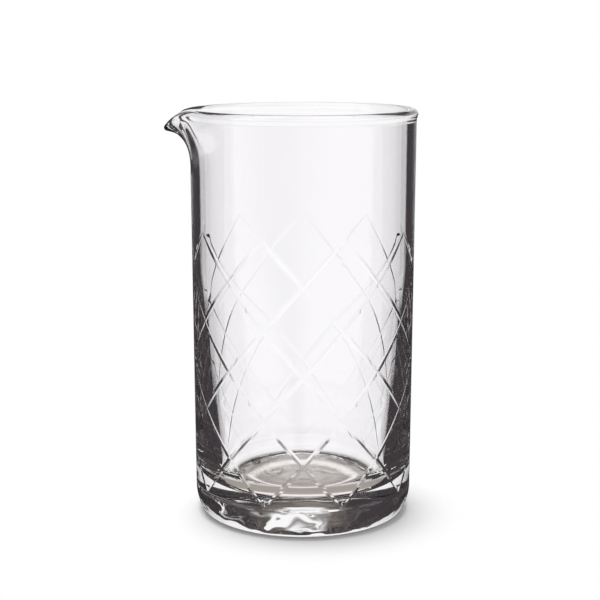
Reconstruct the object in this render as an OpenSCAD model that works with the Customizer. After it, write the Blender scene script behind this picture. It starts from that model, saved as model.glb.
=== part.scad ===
// Mixing glass: a heavy-based glass beaker with a pulled pouring spout and a lattice of mitre cuts.
// It stands on the XY plane with its axis on Z, and its spout points along -X.

/* [Body] */
// Height from the table to the top of the rim
glass_h = 165; // [140:1:200]
// Outside diameter of the wall where it turns in to the heel
wall_low_d = 88.6; // [84:0.2:90]
// Outside diameter of the wall where it swells to the rim
wall_high_d = 90.4; // [88:0.2:100]

/* [Base] */
// Diameter of the flat foot, measured to its sharp edge
foot_d = 82; // [80:0.2:83]
// Height of the corner where the wall turns in towards the foot
heel_h = 6; // [6:0.5:10]
// Radius of the rounded heel
heel_r = 18; // [8:1:19]
// Radius on the edge of the foot
foot_edge_r = 3; // [0.5:0.1:3.4]
// Thickness of the glass under the inside floor
floor_t = 12.5; // [8:0.5:22]

/* [Inside] */
// Diameter of the straight upper bore
bore_d = 83.4; // [76:0.2:85]
// Height above the table where the bore begins to narrow towards the base
bore_low_h = 96; // [80:1:105]
// Diameter of the inside at the floor, measured to its sharp corner
floor_d = 67.5; // [52:0.5:70]
// Radius that eases the bore into the thickened lower wall
shoulder_r = 180; // [60:5:240]
// Radius between the lower wall and the floor
floor_r = 13; // [4:0.5:16]

/* [Rim] */
// Outside diameter of the fire-polished bead on the rim
rim_d = 91.6; // [90:0.2:102]
// Height over which the wall swells out to the bead
rim_swell_h = 2.2; // [1:0.1:8]

/* [Spout] */
// How far the spout's lip reaches out past the rim
spout_reach = 10.4; // [5:0.2:14]
// How far the spout's lip drops below the rim
spout_drop = 5.4; // [2:0.2:8]
// How late the lip drops along its reach, where more keeps its sides level for longer
spout_droop = 3; // [1:0.1:3.5]
// Width of the spout's lip half way along its reach
spout_w = 24; // [16:0.5:28]
// Depth below the rim where the wall begins to bend out into the spout
spout_h = 27; // [20:1:34]
// Angle through which the wall turns to form the lip
spout_turn_a = 80; // [60:1:84]
// Fullness of the spout seen from above, where more gives straighter sides
spout_fullness = 4.5; // [3:0.5:6]
// How much wider the spout is at its root than at its lip, as a share of the lip's width
spout_flare = 2; // [0:0.1:2.4]
// Share of its thickness that the glass loses where it is pulled out to the lip
spout_thinning = 0.35; // [0:0.05:0.4]

/* [Cuts] */
// Number of mitre cuts in each direction
cut_count = 9; // [6:1:12]
// Rows of half diamonds from the top of the lattice to its foot
cut_rows = 6; // [4:1:8]
// Plain band between the top of the lattice and the rim
plain_band_h = 46.7; // [36:0.1:60]
// Height of the lattice's lowest points above the table
cut_low_h = 12.5; // [10:0.5:24]
// Width of a cut at the surface
cut_w = 2; // [1:0.1:3]
// Depth of a cut
cut_depth = 0.3; // [0.2:0.05:0.8]
// Length over which a cut runs out at each of its ends
cut_fade = 9; // [4:0.5:14]
// Direction of one upper point of the lattice, turned from +X
cut_start_a = -70; // [-180:1:180]

/* [Hidden] */
$fn = 128;
glass_colour = [0.86, 0.9, 0.9, 0.4];

wall_low_r = wall_low_d / 2;
wall_high_r = wall_high_d / 2;
bore_r = bore_d / 2;
rim_r = rim_d / 2;
// The bead is as thick as the glass between the bore and the rim's outside
bead_r = (rim_r - bore_r) / 2;
bead_z = glass_h - bead_r;
swell_z = bead_z - rim_swell_h;

// Corners of the half section, from the middle of the foot round to the middle of the inside floor
foot_corner = [foot_d / 2, 0];
heel_corner = [wall_low_r, heel_h];
swell_corner = [wall_high_r, swell_z];
shoulder_corner = [bore_r, bore_low_h];
floor_corner = [floor_d / 2, floor_t];
foot_middle = [0, 0];
floor_middle = [0, floor_t];
bore_edge = [bore_r, glass_h];
rim_edge = [rim_r, glass_h];
rim_side = [rim_r, bead_z];
// A fillet's arc laps over the lines it joins by this much, so that it meets them at a clean point
fillet_lap = 0.004;

// The spout fills a window in the plain wall, which ends where its sides have died away,
// this many times further from its middle than the place where half of the spout is left
spout_spread = 3;
spout_root_z = glass_h - spout_h;
spout_half_a = asin(spout_w / 2 / (rim_r + spout_reach / 2));
spout_end_a = spout_spread * spout_half_a;
spout_columns = 44;
// The wall turns out late on its way up, by the first power, and less at its sides, by the second
bend_rise = 3 / 2;
turn_fall = 1 / 2;
least_turn_a = 3;
bend_step = 0.01;
plain_rows = 8;
swell_rows = 5;
bead_steps = 8;
// The spout's skin starts inside the plain wall, this deep and this far below its surface
weld_depth = 0.6;
weld_inset = 0.08;
weld_a = 0.8;

// One cut runs through all the rows, and turns by half a pitch in each of them
cut_high_h = glass_h - plain_band_h;
cut_turn_a = cut_rows * 180 / cut_count;
cut_length = norm([wall_low_r * cut_turn_a * PI / 180, cut_high_h - cut_low_h]);
cut_steps = 30;
// How far the grinding edge stands out of the glass along a cut, and at its two ends
cut_proud = 0.5;
cut_lift = 0.1;

function lerp(a, b, t) = a + (b - a) * t;
function unit(v) = v / norm(v);
function around(r, a, z) = [r * cos(a), r * sin(a), z];

// Half of the angle at corner b, then a fillet's start on each side of it and its centre
function half_angle(a, b, c) = acos(unit(a - b) * unit(c - b)) / 2;
function fillet_start(a, b, c, r) = b + unit(a - b) * r / tan(half_angle(a, b, c));
function fillet_centre(a, b, c, r) = b + unit(unit(a - b) + unit(c - b)) * r / sin(half_angle(a, b, c));

heel_centre = fillet_centre(foot_corner, heel_corner, swell_corner, heel_r);
heel_top_z = fillet_start(swell_corner, heel_corner, foot_corner, heel_r)[1];

// Outside radius of the plain wall at a height
function wall_r(z) =
    z > swell_z ? lerp(wall_high_r, rim_r, (z - swell_z) / rim_swell_h)
    : z > heel_top_z ? lerp(wall_low_r, wall_high_r, (z - heel_h) / (swell_z - heel_h))
    : heel_centre[0] + sqrt(heel_r ^ 2 - (z - heel_centre[1]) ^ 2);

// What lies between the corner b and a fillet of radius r
module fillet_corner(a, b, c, r) {
    difference() {
        polygon([b, fillet_start(a, b, c, r), fillet_start(c, b, a, r)]);
        translate(fillet_centre(a, b, c, r)) circle(r + fillet_lap);
    }
}

// Half section of the plain beaker, without spout or cuts
module half_section() {
    difference() {
        polygon([
            foot_middle, foot_corner, heel_corner, swell_corner, rim_side, rim_edge,
            bore_edge, shoulder_corner, floor_corner, floor_middle
        ]);
        fillet_corner(foot_middle, foot_corner, heel_corner, foot_edge_r);
        fillet_corner(foot_corner, heel_corner, swell_corner, heel_r);
        fillet_corner(rim_side, rim_edge, bore_edge, bead_r);
        fillet_corner(rim_edge, bore_edge, shoulder_corner, bead_r);
    }
    fillet_corner(bore_edge, shoulder_corner, floor_corner, shoulder_r);
    fillet_corner(shoulder_corner, floor_corner, floor_middle, floor_r);
}

// Skin over closed rings of points that run anticlockwise about the way the rings advance.
// Its two ends are filled by strips across the ring, from its first point and its last.
module loft(rings) {
    count = len(rings);
    sides = len(rings[0]);
    last = sides - 1;
    far = (count - 1) * sides;
    walls = [
        for (i = [0 : count - 2], j = [0 : last])
            let (k = (j + 1) % sides, low = i * sides, high = low + sides)
            each [[low + j, high + k, low + k], [low + j, high + j, high + k]]
    ];
    strips = [
        for (j = [0 : ceil(sides / 2) - 2])
            each [[j, j + 1, last - j], if (j + 1 < last - j - 1) [j + 1, last - j - 1, last - j]]
    ];
    far_strips = [for (s = strips) [far + s[0], far + s[2], far + s[1]]];
    polyhedron([for (ring = rings) each ring], concat(walls, strips, far_strips));
}

// Share of the full spout at an angle from its middle, where up is 0 at the spout's root and 1 at its lip.
// It is 1 in the middle, and 0 where the sides have died away.
function bell(a, half_a) = 1 / (1 + pow(abs(a) / half_a, spout_fullness));
function spout_share(a, up) =
    let (half_a = spout_half_a * (1 + spout_flare * (1 - up)), end = bell(spout_end_a, half_a))
    max(0, (bell(a, half_a) - end) / (1 - end));

// How far the lip is turned at an angle, which is most in the middle of the spout,
// and the share of its way out that the wall has come at a height
function lip_turn(a) = max(least_turn_a, spout_turn_a * pow(spout_share(a, 1), turn_fall));
function bend_out(a, up) =
    (1 - cos(asin(sin(lip_turn(a)) * pow(up, bend_rise)))) / (1 - cos(lip_turn(a)));

// Steps up the spout's wall, with one on the line where the wall swells out to the bead
swell_up = (swell_z - spout_root_z) / (bead_z - spout_root_z);
spout_steps = concat(
    [for (i = [1 : plain_rows - 1]) swell_up * pow(i / plain_rows, 1 / bend_rise)],
    [for (i = [0 : swell_rows]) lerp(swell_up, 1, i / swell_rows)]
);

// Where the bend carries the middle of the wall, as radius and height, and the way the wall runs there
function bend(a, up) = [
    spout_reach * spout_share(a, up) * bend_out(a, up),
    lerp(spout_root_z, bead_z - spout_drop * pow(spout_share(a, 1), spout_droop), up)
];
function bend_along(a, up) = unit(bend(a, up) - bend(a, up - bend_step));

// Half thickness of the plain wall, and the share of it that is left by the pull
function spout_half_t(up) = (wall_r(lerp(spout_root_z, bead_z, up)) - bore_r) / 2;
function thinned(a, up) = 1 - spout_thinning * spout_share(a, 1) * up;
function square_to(v) = [v[1], -v[0]];

// Section through the spout's wall at an angle: up its outside, over the bead and down its inside
function spout_section(a) =
    let (
        half_t = [for (up = spout_steps) spout_half_t(up) * thinned(a, up) - weld_inset],
        top = len(spout_steps) - 1,
        sides = [for (i = [0 : top]) square_to(bend_along(a, spout_steps[i])) * half_t[i]],
        middles = [for (up = spout_steps) bend(a, up) + [bore_r + spout_half_t(up), 0]],
        lip = bend_along(a, 1),
        turns = [for (i = [1 : bead_steps - 1]) i * 180 / bead_steps],
        bead = [for (b = turns) square_to(lip) * cos(b) + lip * sin(b)],
        outline = concat(
            [[wall_r(spout_root_z) - weld_inset, spout_root_z - weld_depth]],
            [for (i = [0 : top]) middles[i] + sides[i]],
            [for (b = bead) middles[top] + b * half_t[top]],
            [for (i = [top : -1 : 0]) middles[i] - sides[i]],
            [[bore_r + weld_inset, spout_root_z - weld_depth]]
        )
    )
    [for (p = outline) around(p[0], 180 + a, p[1])];

module spout() {
    angles = [for (i = [0.5 : spout_columns]) lerp(spout_end_a, -spout_end_a, i / spout_columns)];
    loft([for (a = concat(spout_end_a + weld_a, angles, -spout_end_a - weld_a)) spout_section(a)]);
}

// The stretch of plain wall and rim that the spout takes the place of
module spout_window() {
    far = 2 * rim_r;
    translate([0, 0, spout_root_z])
        linear_extrude(spout_h + bead_r)
            polygon([
                [0, 0],
                [far * cos(180 - spout_end_a), far * sin(180 - spout_end_a)],
                [far * cos(180 + spout_end_a), far * sin(180 + spout_end_a)]
            ]);
}

// Ring of the grinding edge at s, from 0 at the top of a cut to 1 at its foot
function cut_depth_at(s) =
    let (run = min(1, min(s, 1 - s) * cut_length / cut_fade))
    (cut_depth + cut_lift) * sqrt(run) - cut_lift;
function cut_ring(s, start_a, way) =
    let (
        z = lerp(cut_high_h, cut_low_h, s),
        a = start_a + way * cut_turn_a * s,
        outward = around(1, a, 0),
        along = unit(around(way * wall_r(z) * cut_turn_a * PI / 180, a + 90, cut_low_h - cut_high_h)),
        across = cross(outward, along),
        deep = cut_depth_at(s),
        spread = across * (deep + cut_proud) * cut_w / 2 / cut_depth,
        skin = around(wall_r(z), a, z),
        proud = skin + outward * cut_proud
    )
    [skin - outward * deep, proud + spread, proud - spread];

// All the cuts that lean one way
module mitre_cuts(way) {
    for (i = [0 : cut_count - 1])
        loft([for (j = [0 : cut_steps]) cut_ring(j / cut_steps, cut_start_a + i * 360 / cut_count, way)]);
}

module mixing_glass() {
    color(glass_colour)
        difference() {
            union() {
                difference() {
                    rotate_extrude() half_section();
                    spout_window();
                }
                spout();
            }
            mitre_cuts(1);
            mitre_cuts(-1);
        }
}

mixing_glass();
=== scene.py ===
import math

import bpy
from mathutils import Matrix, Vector


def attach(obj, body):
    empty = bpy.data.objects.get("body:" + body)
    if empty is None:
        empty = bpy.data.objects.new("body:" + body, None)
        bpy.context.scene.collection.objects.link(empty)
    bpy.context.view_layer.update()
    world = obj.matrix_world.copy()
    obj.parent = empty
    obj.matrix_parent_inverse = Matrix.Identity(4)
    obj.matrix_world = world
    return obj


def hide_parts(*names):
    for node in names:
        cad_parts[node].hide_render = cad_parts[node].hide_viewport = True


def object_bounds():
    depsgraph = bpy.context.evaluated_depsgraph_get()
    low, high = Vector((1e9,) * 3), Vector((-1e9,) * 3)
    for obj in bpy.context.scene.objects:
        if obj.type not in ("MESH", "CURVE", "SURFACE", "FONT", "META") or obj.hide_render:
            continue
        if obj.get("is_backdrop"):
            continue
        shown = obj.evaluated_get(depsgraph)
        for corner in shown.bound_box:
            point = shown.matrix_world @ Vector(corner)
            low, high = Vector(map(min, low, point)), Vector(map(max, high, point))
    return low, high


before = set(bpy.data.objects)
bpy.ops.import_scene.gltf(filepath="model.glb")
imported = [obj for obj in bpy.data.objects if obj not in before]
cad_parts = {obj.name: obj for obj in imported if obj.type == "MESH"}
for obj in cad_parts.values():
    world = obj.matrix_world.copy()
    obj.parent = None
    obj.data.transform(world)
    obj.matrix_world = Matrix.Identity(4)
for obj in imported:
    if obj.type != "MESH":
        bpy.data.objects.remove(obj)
cad_low, cad_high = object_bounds()

# The mixing glass: one piece of clear glass, blown with a heavy base and a thin upper wall.
# Its rim is fire-polished to a bead, its spout is pulled out of the hot rim, and two crossing sets
# of mitre cuts are ground into the cold wall and polished again.
MM = 0.001
glass_h = cad_high.z
wall_low_r = 44.3 * MM
wall_high_r = 45.2 * MM
foot_r = 41 * MM
heel_h = 6 * MM
heel_r = 18 * MM
foot_edge_r = 3 * MM
floor_t = 12.5 * MM
floor_corner_r = 33.75 * MM
floor_fillet_r = 13 * MM
bore_r = 41.7 * MM
bore_low_h = 96 * MM
shoulder_r = 180 * MM
rim_r = 45.8 * MM
rim_swell_h = 2.2 * MM
swell_r = 5 * MM
bead_r = (rim_r - bore_r) / 2
bead_z = glass_h - bead_r
swell_z = bead_z - rim_swell_h
spout_h = 27 * MM
spout_root_z = glass_h - spout_h

cut_count = 9
cut_rows = 6
cut_start_a = math.radians(-70)
plain_band_h = 46.7 * MM
cut_high_z = glass_h - plain_band_h
cut_low_z = 12.5 * MM
cut_w = 2.0 * MM
cut_depth = 0.24 * MM
cut_fade = 9 * MM

# The swell runs up to touch the bead, which sets how far it leans and where it would meet the top
bead_in = wall_high_r - (rim_r - bead_r)
swell_lean = math.asin(bead_r / math.hypot(rim_swell_h, bead_in)) - math.atan2(bead_in, rim_swell_h)
rim_corner_r = wall_high_r + (glass_h - swell_z) * math.tan(swell_lean)


def wall_r(z):
    """Outside radius of the wall, which widens a little from the heel to the rim."""
    return wall_low_r + (wall_high_r - wall_low_r) * (z - heel_h) / (swell_z - heel_h)


arc_steps = 16
end_row_h = 0.25 * MM
spout_row_h = 0.9 * MM
plain_row_h = 5 * MM
same_place = 0.01 * MM


def fillet(before, corner, after, radius):
    """Points of the arc that rounds a corner, from the side before it to the side after it."""
    back = (before - corner).normalized()
    on = (after - corner).normalized()
    half = back.angle(on) / 2
    centre = corner + (back + on).normalized() * radius / math.sin(half)
    start = corner + back * radius / math.tan(half) - centre
    end = corner + on * radius / math.tan(half) - centre
    turn = start.angle(end)
    across = (end - start * math.cos(turn)) / math.sin(turn)
    angles = [turn * i / arc_steps for i in range(arc_steps + 1)]
    return [centre + start * math.cos(a) + across * math.sin(a) for a in angles]


def straight(start, end):
    """Points between two arcs: a short row at each end, which keeps the stretch flat, and even rows."""
    length = (end - start).length
    step = spout_row_h if max(start.z, end.z) > spout_root_z else plain_row_h
    rows = max(1, math.ceil((length - 2 * end_row_h) / step))
    first = end_row_h / length
    shares = [first + (1 - 2 * first) * i / rows for i in range(rows + 1)]
    return [start.lerp(end, share) for share in shares]


def section(corners):
    """Points along a run of corners, each given as radius, height and the radius of its fillet."""
    points = [Vector((r, 0, z)) for r, z, _ in corners]
    line = [points[0]]
    for i in range(1, len(points)):
        rounding = corners[i][2]
        arc = fillet(points[i - 1], points[i], points[i + 1], rounding) if rounding else [points[i]]
        if (arc[0] - line[-1]).length > same_place:
            line += straight(line[-1], arc[0])
        line += arc if (arc[0] - line[-1]).length > same_place else arc[1:]
    return line


below_cuts = section(
    [
        (0, 0, 0),
        (foot_r, 0, foot_edge_r),
        (wall_low_r, heel_h, heel_r),
        (wall_r(cut_low_z), cut_low_z, 0),
    ]
)
above_cuts = section(
    [
        (wall_r(cut_high_z), cut_high_z, 0),
        (wall_r(spout_root_z), spout_root_z, 0),
        (wall_high_r, swell_z, swell_r),
        (rim_corner_r, glass_h, bead_r),
        (bore_r, glass_h, bead_r),
        (bore_r, spout_root_z, 0),
        (bore_r, bore_low_h, shoulder_r),
        (floor_corner_r, floor_t, floor_fillet_r),
        (0, floor_t, 0),
    ]
)

# One of the bands between two neighbouring cuts is laid out on the lattice itself: a point has a number
# across the band, from cut to cut, and a number along it, where the cuts that lean the other way cross it.
plain_steps = 23
steps_across = plain_steps + 2
steps_down = cut_rows * steps_across
pitch_a = 2 * math.pi / cut_count
cut_turn_a = cut_rows * pitch_a / 2
cut_h = cut_high_z - cut_low_z
cut_length = math.hypot(wall_low_r * cut_turn_a, cut_h)
cut_gap = wall_low_r * pitch_a * cut_h / cut_length
cut_share = cut_w / 2 / cut_gap

# Where a cut has run out, its edges keep this share of their distance, so that no face is lost
least_edge = 0.08


def cut_full(s):
    """How much of the full cut is ground at s, from 0 at the top of the lattice to 1 at its foot."""
    return math.sqrt(min(1, min(s, 1 - s) * cut_length / cut_fade))


def lattice_share(number, full):
    """Place across a band: on a cut, at the edge of a cut, or evenly spread over the plain glass."""
    turn, step = divmod(number, steps_across)
    edge = cut_share * max(full, least_edge)
    inner = (step - 1) / plain_steps
    spread = cut_share + (1 - 2 * cut_share) * inner
    places = {0: 0, 1: edge, steps_across - 1: 1 - edge}
    return turn + places.get(step, spread)


def on_cut(across, along):
    """Whether a point lies on the bottom line of a cut, of either set."""
    return 0 in (across % steps_across, along % steps_across)


def lattice_point(across, along):
    """A point of the wall by its numbers across and along the band, sunk where it lies on a cut."""
    s = (along - across) / steps_down
    full = cut_full(s)
    u = lattice_share(across, full)
    v = lattice_share(along, full)
    z = cut_high_z - cut_h * (v - u) / cut_rows
    r = wall_r(z) - (cut_depth * full if on_cut(across, along) else 0)
    a = cut_start_a + pitch_a * (u + v) / 2
    return Vector((r * math.cos(a), r * math.sin(a), z))


# Each point also keeps whether it lies in a ground cut, which the material reads
points = []
ground = []
faces = []


def add_row(line_point, start_a):
    """One row of points round a sector of the glass, in step with the points between two cuts."""
    first = len(points)
    for k in range(steps_across + 1):
        a = start_a + pitch_a * lattice_share(k, 0)
        points.append(Vector((line_point.x * math.cos(a), line_point.x * math.sin(a), line_point.z)))
        ground.append(0.0)
    return list(range(first, len(points)))


def join_rows(low, high):
    """Faces between two rows of points."""
    for k in range(steps_across):
        faces.append((low[k], low[k + 1], high[k + 1], high[k]))


number = {}
for across in range(steps_across + 1):
    for along in range(across, across + steps_down + 1):
        number[across, along] = len(points)
        points.append(lattice_point(across, along))
        ground.append(1.0 if on_cut(across, along) else 0.0)
for across in range(steps_across):
    faces.append((number[across, across], number[across, across + 1], number[across + 1, across + 1]))
    for along in range(across + 1, across + steps_down):
        west = number[across, along]
        north = number[across + 1, along]
        east = number[across + 1, along + 1]
        south = number[across, along + 1]
        at_cut = (across % steps_across, along % steps_across)
        if at_cut in ((0, 0), (steps_across - 1, steps_across - 1)):
            faces.append((west, south, east))
            faces.append((west, east, north))
        elif at_cut in ((0, steps_across - 1), (steps_across - 1, 0)):
            faces.append((west, south, north))
            faces.append((south, east, north))
        else:
            faces.append((west, south, east, north))
    along = across + steps_down
    faces.append((number[across, along], number[across + 1, along + 1], number[across + 1, along]))
lattice_top = [number[k, k] for k in range(steps_across + 1)]
lattice_foot = [number[k, k + steps_down] for k in range(steps_across + 1)]
rows = [add_row(point, cut_start_a + cut_turn_a) for point in below_cuts[:-1]] + [lattice_foot]
for low, high in zip(rows, rows[1:]):
    join_rows(low, high)
rows = [lattice_top] + [add_row(point, cut_start_a) for point in above_cuts[1:]]
for low, high in zip(rows, rows[1:]):
    join_rows(low, high)

sector_mesh = bpy.data.meshes.new("sector")
sector_mesh.from_pydata(points, [], faces)
sector_mesh.attributes.new("ground", "FLOAT", "POINT").data.foreach_set("value", ground)
glass = bpy.data.objects.new("cut_glass", sector_mesh)
bpy.context.scene.collection.objects.link(glass)


class Field:
    """A value in a node tree, so that a rule can be written out as a formula."""

    def __init__(self, tree, socket):
        self.tree = tree
        self.socket = socket

    def __add__(self, other):
        return calc("ADD", self, other)

    def __radd__(self, other):
        return calc("ADD", other, self)

    def __sub__(self, other):
        return calc("SUBTRACT", self, other)

    def __rsub__(self, other):
        return calc("SUBTRACT", other, self)

    def __mul__(self, other):
        return calc("MULTIPLY", self, other)

    def __rmul__(self, other):
        return calc("MULTIPLY", other, self)

    def __truediv__(self, other):
        return calc("DIVIDE", self, other)

    def __rtruediv__(self, other):
        return calc("DIVIDE", other, self)

    def __pow__(self, other):
        return calc("POWER", self, other)


def plug(tree, socket, value):
    """Feeds a node's socket with a field, another socket or a plain value."""
    if isinstance(value, Field):
        tree.links.new(value.socket, socket)
    elif isinstance(value, bpy.types.NodeSocket):
        tree.links.new(value, socket)
    else:
        socket.default_value = value


def calc(operation, *values):
    """The result of one step of arithmetic on fields and plain numbers."""
    tree = next(value.tree for value in values if isinstance(value, Field))
    node = tree.nodes.new("ShaderNodeMath")
    node.operation = operation
    for socket, value in zip(node.inputs, values):
        plug(tree, socket, value)
    return Field(tree, node.outputs[0])


def node_in(tree, kind, inputs=None, **settings):
    """A new node with its settings made and its inputs, by name, fed."""
    node = tree.nodes.new(kind)
    for name, value in settings.items():
        setattr(node, name, value)
    for name, value in (inputs or {}).items():
        plug(tree, node.inputs[name], value)
    return node


def placed(tree, geometry, x, y, z):
    """Geometry with its points moved to the place that three fields give."""
    place = node_in(tree, "ShaderNodeCombineXYZ", {"X": x, "Y": y, "Z": z})
    moved = node_in(tree, "GeometryNodeSetPosition", {"Geometry": geometry, "Position": place.outputs[0]})
    return moved.outputs[0]


def position_of(tree):
    """The three coordinates of each point, as fields."""
    place = node_in(tree, "GeometryNodeInputPosition")
    parts = node_in(tree, "ShaderNodeSeparateXYZ", {0: place.outputs[0]})
    return [Field(tree, socket) for socket in parts.outputs]


seam_gap = 0.002 * MM


def repeated_round(tree, sector, count):
    """The sector set side by side round the axis, and joined into one closed skin."""
    one = node_in(tree, "GeometryNodeGeometryToInstance", {"Geometry": sector})
    copies = node_in(
        tree,
        "GeometryNodeDuplicateElements",
        {"Geometry": one.outputs[0], "Amount": count},
        domain="INSTANCE",
    )
    step = Field(tree, copies.outputs["Duplicate Index"]) * (2 * math.pi) / count
    spin = node_in(tree, "ShaderNodeCombineXYZ", {"Z": step})
    ring = node_in(
        tree,
        "GeometryNodeRotateInstances",
        {"Instances": copies.outputs[0], "Rotation": spin.outputs[0], "Local Space": False},
    )
    loose = node_in(tree, "GeometryNodeRealizeInstances", {"Geometry": ring.outputs[0]})
    joined = node_in(
        tree, "GeometryNodeMergeByDistance", {"Geometry": loose.outputs[0], "Distance": seam_gap}
    )
    return joined.outputs[0]


# The spout bends more and more steeply towards the lip. Its lean is the slope over a short step.
least_turn_a = math.radians(3)
bend_power = 1.5
bend_step = 0.01
axis_r = 0.001 * MM


def spout_pulled(tree, geometry, size):
    """The wall and rim on the -X side bent out and down into the spout."""
    x, y, z = position_of(tree)
    radius = calc("SQRT", x * x + y * y)
    angle = calc("ABSOLUTE", calc("ARCTAN2", y, 0 - x))
    lip_half_a = calc("ARCSINE", size["Spout width"] / 2 / (rim_r + size["Spout reach"] / 2))
    end_a = size["Spout spread"] * lip_half_a
    fullness = size["Spout fullness"]

    def share_at(up):
        half_a = lip_half_a * (1 + size["Spout flare"] * (1 - up))
        end = 1 / (1 + (end_a / half_a) ** fullness)
        return calc("MAXIMUM", (1 / (1 + (angle / half_a) ** fullness) - end) / (1 - end), 0)

    share = share_at(1)
    lip_turn = calc("MAXIMUM", size["Spout turn"] * calc("SQRT", share), least_turn_a)
    full_out = size["Spout reach"] / (1 - calc("COSINE", lip_turn))

    def out_at(up):
        turn = calc("ARCSINE", calc("SINE", lip_turn) * up**bend_power)
        return full_out * share_at(up) * (1 - calc("COSINE", turn))

    bend_h = bead_z - spout_root_z
    up = calc("MINIMUM", calc("MAXIMUM", (z - spout_root_z) / bend_h, 0), 1)
    over_root = calc("MAXIMUM", up, bend_step)
    drawn_h = bend_h - size["Spout drop"] * share ** size["Spout droop"]
    out = out_at(up)
    step_out = out_at(over_root) - out_at(over_root - bend_step)
    lean = calc("ARCTANGENT", step_out / (bend_step * drawn_h))
    middle_r = (bore_r + rim_r) / 2
    side = (radius - middle_r) * (1 - size["Spout thinning"] * share * up)
    over = calc("MAXIMUM", z - bead_z, 0) * (1 - size["Spout thinning"] * share)
    new_r = middle_r + out + side * calc("COSINE", lean) + over * calc("SINE", lean)
    new_z = spout_root_z + drawn_h * up + over * calc("COSINE", lean) - side * calc("SINE", lean)
    above = calc("GREATER_THAN", z, spout_root_z)
    scale = above * (new_r / calc("MAXIMUM", radius, axis_r) - 1) + 1
    return placed(tree, geometry, x * scale, y * scale, z + above * (new_z - z))


glass_tint = (0.998, 0.994, 0.999, 1)
glass_ior = 1.5
wave_scale = 85
wave_h = 0.012 * MM
base_wave_h = 0.8 * MM
base_wave_z = 13 * MM
base_wave_edge = 2 * MM
film_scale = 240
film_rough = 0.01
ground_rough = 0.11
ground_from = 0.02
ground_full = 0.1


def eased(tree, value, low, high):
    """0 below low, 1 above high and a smooth rise between them."""
    step = node_in(
        tree,
        "ShaderNodeMapRange",
        {"Value": value, "From Min": low, "From Max": high},
        interpolation_type="SMOOTHSTEP",
    )
    return Field(tree, step.outputs[0])


def clear_glass():
    """Clear soda-lime glass: faint waves left by blowing, deeper ones in the heavy base, a thin uneven
    film, and cuts that are polished a little less than the wall."""
    material = bpy.data.materials.new("polished_clear_glass")
    material.use_nodes = True
    tree = material.node_tree
    place = node_in(tree, "ShaderNodeTexCoord").outputs["Object"]
    parts = node_in(tree, "ShaderNodeSeparateXYZ", {0: place})
    z = Field(tree, parts.outputs["Z"])
    base = 1 - eased(tree, z, base_wave_z - base_wave_edge, base_wave_z)
    waves = node_in(tree, "ShaderNodeTexNoise", {"Vector": place, "Scale": wave_scale, "Detail": 1.0})
    height = Field(tree, waves.outputs[0]) * (wave_h + (base_wave_h - wave_h) * base)
    bump = node_in(tree, "ShaderNodeBump", {"Height": height, "Distance": 1.0})
    film = node_in(tree, "ShaderNodeTexNoise", {"Vector": place, "Scale": film_scale, "Detail": 3.0})
    cut = Field(tree, node_in(tree, "ShaderNodeAttribute", attribute_name="ground").outputs["Fac"])
    in_cut = eased(tree, cut, ground_from, ground_full)
    rough = Field(tree, film.outputs[0]) * film_rough + ground_rough * in_cut
    shader = tree.nodes["Principled BSDF"]
    shader.inputs["Base Color"].default_value = glass_tint
    shader.inputs["IOR"].default_value = glass_ior
    shader.inputs["Transmission Weight"].default_value = 1.0
    plug(tree, shader.inputs["Roughness"], rough)
    plug(tree, shader.inputs["Normal"], bump.outputs[0])
    return material


glass_finish = clear_glass()
sector_mesh.materials.append(glass_finish)
crisp_a = math.radians(12)
sizes = {
    "Cut count": cut_count,
    "Spout reach": 10.28 * MM,
    "Spout drop": 5.4 * MM,
    "Spout droop": 3.0,
    "Spout width": 24 * MM,
    "Spout turn": math.radians(80),
    "Spout fullness": 4.5,
    "Spout spread": 3.0,
    "Spout flare": 2.0,
    "Spout thinning": 0.35,
}

form = bpy.data.node_groups.new("cut glass with a spout", "GeometryNodeTree")
form.interface.new_socket("Sector", in_out="INPUT", socket_type="NodeSocketGeometry")
form.interface.new_socket("Glass", in_out="OUTPUT", socket_type="NodeSocketGeometry")
kinds = {int: "NodeSocketInt", float: "NodeSocketFloat"}
sockets = {
    name: form.interface.new_socket(name, in_out="INPUT", socket_type=kinds[type(value)])
    for name, value in sizes.items()
}
given = form.nodes.new("NodeGroupInput")
size = {name: Field(form, given.outputs[name]) for name in sizes}
body = repeated_round(form, given.outputs["Sector"], size["Cut count"])
body = spout_pulled(form, body, size)
smooth = node_in(form, "GeometryNodeSetShadeSmooth", {"Geometry": body, "Shade Smooth": True})
edge_angle = Field(form, node_in(form, "GeometryNodeInputMeshEdgeAngle").outputs["Unsigned Angle"])
edge_z = position_of(form)[2]
cut_edge = calc("GREATER_THAN", edge_angle, crisp_a) * calc("LESS_THAN", edge_z, cut_high_z)
crisp = node_in(
    form,
    "GeometryNodeSetShadeSmooth",
    {"Geometry": smooth.outputs[0], "Selection": cut_edge, "Shade Smooth": False},
    domain="EDGE",
)
whole = node_in(form, "GeometryNodeRealizeInstances", {"Geometry": crisp.outputs[0]})
finished = node_in(
    form, "GeometryNodeSetMaterial", {"Geometry": whole.outputs[0], "Material": glass_finish}
)
result = form.nodes.new("NodeGroupOutput")
form.links.new(finished.outputs[0], result.inputs["Glass"])

maker = glass.modifiers.new("form", "NODES")
maker.node_group = form
for name, value in sizes.items():
    maker[sockets[name].identifier] = value
evaluated = glass.evaluated_get(bpy.context.evaluated_depsgraph_get())
glass_mesh = bpy.data.meshes.new_from_object(evaluated)
glass.modifiers.remove(maker)
glass.data = glass_mesh
bpy.data.meshes.remove(sector_mesh)
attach(glass, "root")
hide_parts("mixing_glass")

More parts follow.
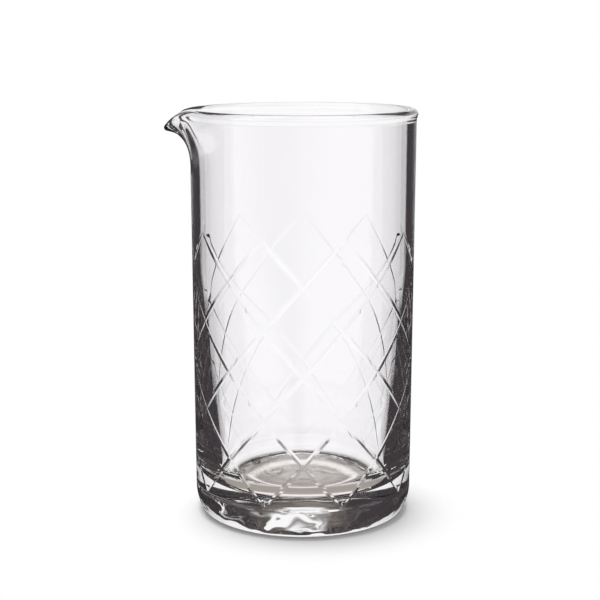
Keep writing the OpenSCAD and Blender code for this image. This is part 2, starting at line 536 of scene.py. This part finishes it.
# The table: a plain white surface that the glass stands on, part of the set. The lamp lights it near the
# glass, so that it keeps the soft shadow, and further off it is plain white to the camera and through clear
# glass. Beneath the foot, where it is seen only through the glass, it has a warm grey painted shadow and a
# painted ring of light, a painted caustic, which shows as the bright ring on the inside floor.
table_half = 6000 * MM
table_gap = 0.15 * MM
near_r = 44 * MM
far_r = 72 * MM
foot_inside = 1 * MM
foot_outside = 3 * MM
table_half_a = math.radians(9)
table_soft_a = math.radians(4)
# A painted ring of light on the table beneath the foot, a painted caustic, seen through the base
painted_light_ring_r = 24 * MM
painted_light_ring_half = 2.6 * MM
painted_light_ring_soft = 2.0 * MM
painted_light_ring_strength = 0.6
white = (1, 1, 1)
through_tint = (0.997, 0.989, 1.0)
# Warm grey painted shadow of the glass on the table beneath its foot, seen only through the glass
painted_shadow_under_foot = (0.40, 0.36, 0.33)
room_dark = (0.05, 0.043, 0.047)
led_round = (0.05, 0.042, 0.044)
lit_white = (0.92, 0.92, 0.92, 1)
dim_share = 0.06
dim_middle_a = math.radians(-2.2)
dim_half_a = math.radians(2.4)
dim_soft_a = math.radians(2.4)
often_mirrored = 3
often_passed = 3


def ray_history(tree):
    """Whether a ray is the camera's own, and how often it was let through, mirrored and scattered."""
    path = node_in(tree, "ShaderNodeLightPath")
    names = ("Is Camera Ray", "Transmission Depth", "Glossy Depth", "Diffuse Depth")
    return [Field(tree, path.outputs[name]) for name in names]


def more_than(count, times):
    """1 where a whole number is more than a number of times."""
    return calc("GREATER_THAN", count, times + 0.5)


def within(tree, value, half, soft):
    """1 where a value is closer to 0 than half, with a soft edge."""
    return 1 - eased(tree, calc("ABSOLUTE", value), half - soft, half + soft)


def toned(tree, *parts):
    """Colour made of several colours, each times a strength."""
    total = None
    for colour, strength in parts:
        scaled = node_in(tree, "ShaderNodeVectorMath", {"Scale": strength}, operation="SCALE")
        scaled.inputs[0].default_value = colour
        if total is None:
            total = scaled
        else:
            total = node_in(
                tree, "ShaderNodeVectorMath", {0: total.outputs[0], 1: scaled.outputs[0]}, operation="ADD"
            )
    return total.outputs[0]


def through_strength(tree, x, y):
    """The backdrop is white, and a little dimmer in the part straight behind the glass."""
    off = calc("ARCTAN2", x, y) - dim_middle_a
    return 1 - dim_share * within(tree, off, dim_half_a, dim_soft_a)


def white_table():
    """White to the camera and through clear glass. What the glass mirrors of it is white straight behind
    the glass, or in front after one mirroring inside the glass, and dark elsewhere. Beneath the foot, to
    all but the camera, it has a warm grey painted shadow and a painted ring of light."""
    material = bpy.data.materials.new("table_white")
    material.use_nodes = True
    tree = material.node_tree
    tree.nodes.clear()
    place = node_in(tree, "ShaderNodeTexCoord").outputs["Object"]
    parts = node_in(tree, "ShaderNodeSeparateXYZ", {0: place})
    x = Field(tree, parts.outputs["X"])
    y = Field(tree, parts.outputs["Y"])
    distance = calc("SQRT", x * x + y * y)
    camera, passes, mirrors, scatters = ray_history(tree)
    through = more_than(passes, 1) * (1 - more_than(mirrors, 0)) * (1 - more_than(scatters, 0))
    led = more_than(mirrors, often_mirrored) * more_than(passes, often_passed)
    once_inside = more_than(mirrors, 0) * (1 - more_than(mirrors, 1)) * more_than(passes, 1)
    beyond = eased(tree, distance, foot_r - foot_inside, foot_r + foot_outside)
    other = (1 - calc("MAXIMUM", camera, through)) * beyond
    # Beneath the foot the table, to all but the camera, is painted: a painted shadow of the glass and a
    # painted ring of light
    painted_under_foot = (1 - camera) * (1 - beyond)
    behind = within(tree, calc("ARCTAN2", x, y), table_half_a, table_soft_a)
    pale = calc("MAXIMUM", behind, once_inside * calc("LESS_THAN", y, 0.0))
    # The painted ring of light beneath the foot, a painted caustic
    ring = within(tree, distance - painted_light_ring_r, painted_light_ring_half, painted_light_ring_soft)
    colour = toned(
        tree,
        (white, camera),
        (through_tint, through * beyond * through_strength(tree, x, y)),
        (white, other * (1 - led) * pale),
        (room_dark, other * (1 - led) * (1 - pale)),
        (led_round, other * led),
        # The painted shadow beneath the foot and the painted ring of light on it
        (painted_shadow_under_foot, painted_under_foot),
        (white, painted_under_foot * ring * painted_light_ring_strength),
    )
    glow = node_in(tree, "ShaderNodeEmission", {"Color": colour, "Strength": 1.0})
    lit = node_in(tree, "ShaderNodeBsdfDiffuse")
    lit.inputs["Color"].default_value = lit_white
    fade = calc("MAXIMUM", eased(tree, distance, near_r, far_r), 1 - camera)
    both = node_in(tree, "ShaderNodeMixShader", {0: fade, 1: lit.outputs[0], 2: glow.outputs[0]})
    end = node_in(tree, "ShaderNodeOutputMaterial")
    tree.links.new(both.outputs[0], end.inputs["Surface"])
    return material


table_mesh = bpy.data.meshes.new("table")
table_mesh.from_pydata(
    [
        (-table_half, -table_half, -table_gap),
        (table_half, -table_half, -table_gap),
        (table_half, table_half, -table_gap),
        (-table_half, table_half, -table_gap),
    ],
    [],
    [(0, 1, 2, 3)],
)
table_mesh.materials.append(white_table())
table = bpy.data.objects.new("table", table_mesh)
bpy.context.scene.collection.objects.link(table)
table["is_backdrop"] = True

# The studio: a dark room with a low white wall round it, a window high behind the glass, a dark screen on
# the spout's side and a broad soft lamp overhead. What the camera sees past the glass or through its hollow
# is white, and what the glass mirrors is the room.
ambient = 0.5
wall_top = math.sin(math.radians(21.5))
wall_soft = 0.02
clear_top = math.sin(math.radians(45))
window_middle = math.sin(math.radians(26.5))
window_half = 0.06
window_soft = 0.02
window_half_a = math.radians(8)
window_soft_a = math.radians(3)
screen_middle_a = math.radians(-55)
screen_half_a = math.radians(46)
screen_soft_a = math.radians(3)
middle_half_a = math.radians(17)
middle_soft_a = math.radians(8)
overhead_low = math.sin(math.radians(52))
overhead_soft = 0.05
brown = (0.15, 0.128, 0.112)
led_share = 0.07
world = bpy.data.worlds.new("studio")
world.use_nodes = True
bpy.context.scene.world = world
tree = world.node_tree
tree.nodes.clear()
direction = node_in(tree, "ShaderNodeTexCoord")
parts = node_in(tree, "ShaderNodeSeparateXYZ", {0: direction.outputs["Generated"]})
x, y, z = [Field(tree, socket) for socket in parts.outputs]
camera_ray, passes, mirrors, scatters = ray_history(tree)
mirrored = more_than(mirrors, 0)
bounced = more_than(scatters, 0)
through = more_than(passes, 2) * (1 - mirrored) * (1 - bounced)
led = more_than(mirrors, often_mirrored)
other = (1 - calc("MAXIMUM", camera_ray, through)) * (1 - bounced)
bearing = calc("ARCTAN2", x, y)
below = 1 - eased(tree, z, wall_top - wall_soft, wall_top + wall_soft)
screen = within(tree, bearing - screen_middle_a, screen_half_a, screen_soft_a) * mirrored
bright = 1 - eased(tree, z, clear_top - wall_soft, clear_top + wall_soft)
wall = calc("MAXIMUM", below * (1 - screen), bright * (1 - mirrored))
window = within(tree, bearing, window_half_a, window_soft_a)
window = window * within(tree, z - window_middle, window_half, window_soft)
overhead = eased(tree, z, overhead_low - overhead_soft, overhead_low + overhead_soft)
middle = within(tree, bearing, middle_half_a, middle_soft_a) * (1 - below) * (1 - overhead)
colour = toned(
    tree,
    (white, camera_ray + bounced * ambient),
    (through_tint, through * through_strength(tree, x, y)),
    (white, other * (1 - led) * calc("MAXIMUM", wall, calc("MAXIMUM", window, overhead))),
    (brown, other * (1 - led) * (1 - wall) * middle * (1 - window)),
    (room_dark, other * (1 - led) * (1 - wall) * (1 - middle) * (1 - overhead)),
    (led_round, other * led),
    (white, other * led * wall * led_share),
)
back = node_in(tree, "ShaderNodeBackground", {"Color": colour, "Strength": 1.0})
end = node_in(tree, "ShaderNodeOutputWorld")
tree.links.new(back.outputs[0], end.inputs["Surface"])

lamp_data = bpy.data.lights.new("overhead", "AREA")
lamp_data.shape = "DISK"
lamp_data.size = 900 * MM
lamp_data.energy = 14
lamp = bpy.data.objects.new("overhead", lamp_data)
lamp.location = (-100 * MM, 150 * MM, 1100 * MM)
lamp.visible_glossy = False
lamp.visible_transmission = False
bpy.context.scene.collection.objects.link(lamp)

# The camera stands where the photograph was taken from: in front of the glass and a little above its rim.
# A clear solid needs many bounces, or its thick wall turns black.
camera_data = bpy.data.cameras.new("camera")
camera_data.sensor_width = 36
camera_data.lens = 87.92
camera = bpy.data.objects.new("camera", camera_data)
camera.location = (-1.23 * MM, -587.1 * MM, 201.4 * MM)
camera.rotation_euler = (math.radians(90 - 11.01), 0, 0)
bpy.context.scene.collection.objects.link(camera)
bpy.context.scene.camera = camera
bpy.context.scene.view_settings.view_transform = "Standard"
bpy.context.scene.cycles.max_bounces = 32
bpy.context.scene.cycles.transmission_bounces = 32
bpy.context.scene.cycles.glossy_bounces = 24

low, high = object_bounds()
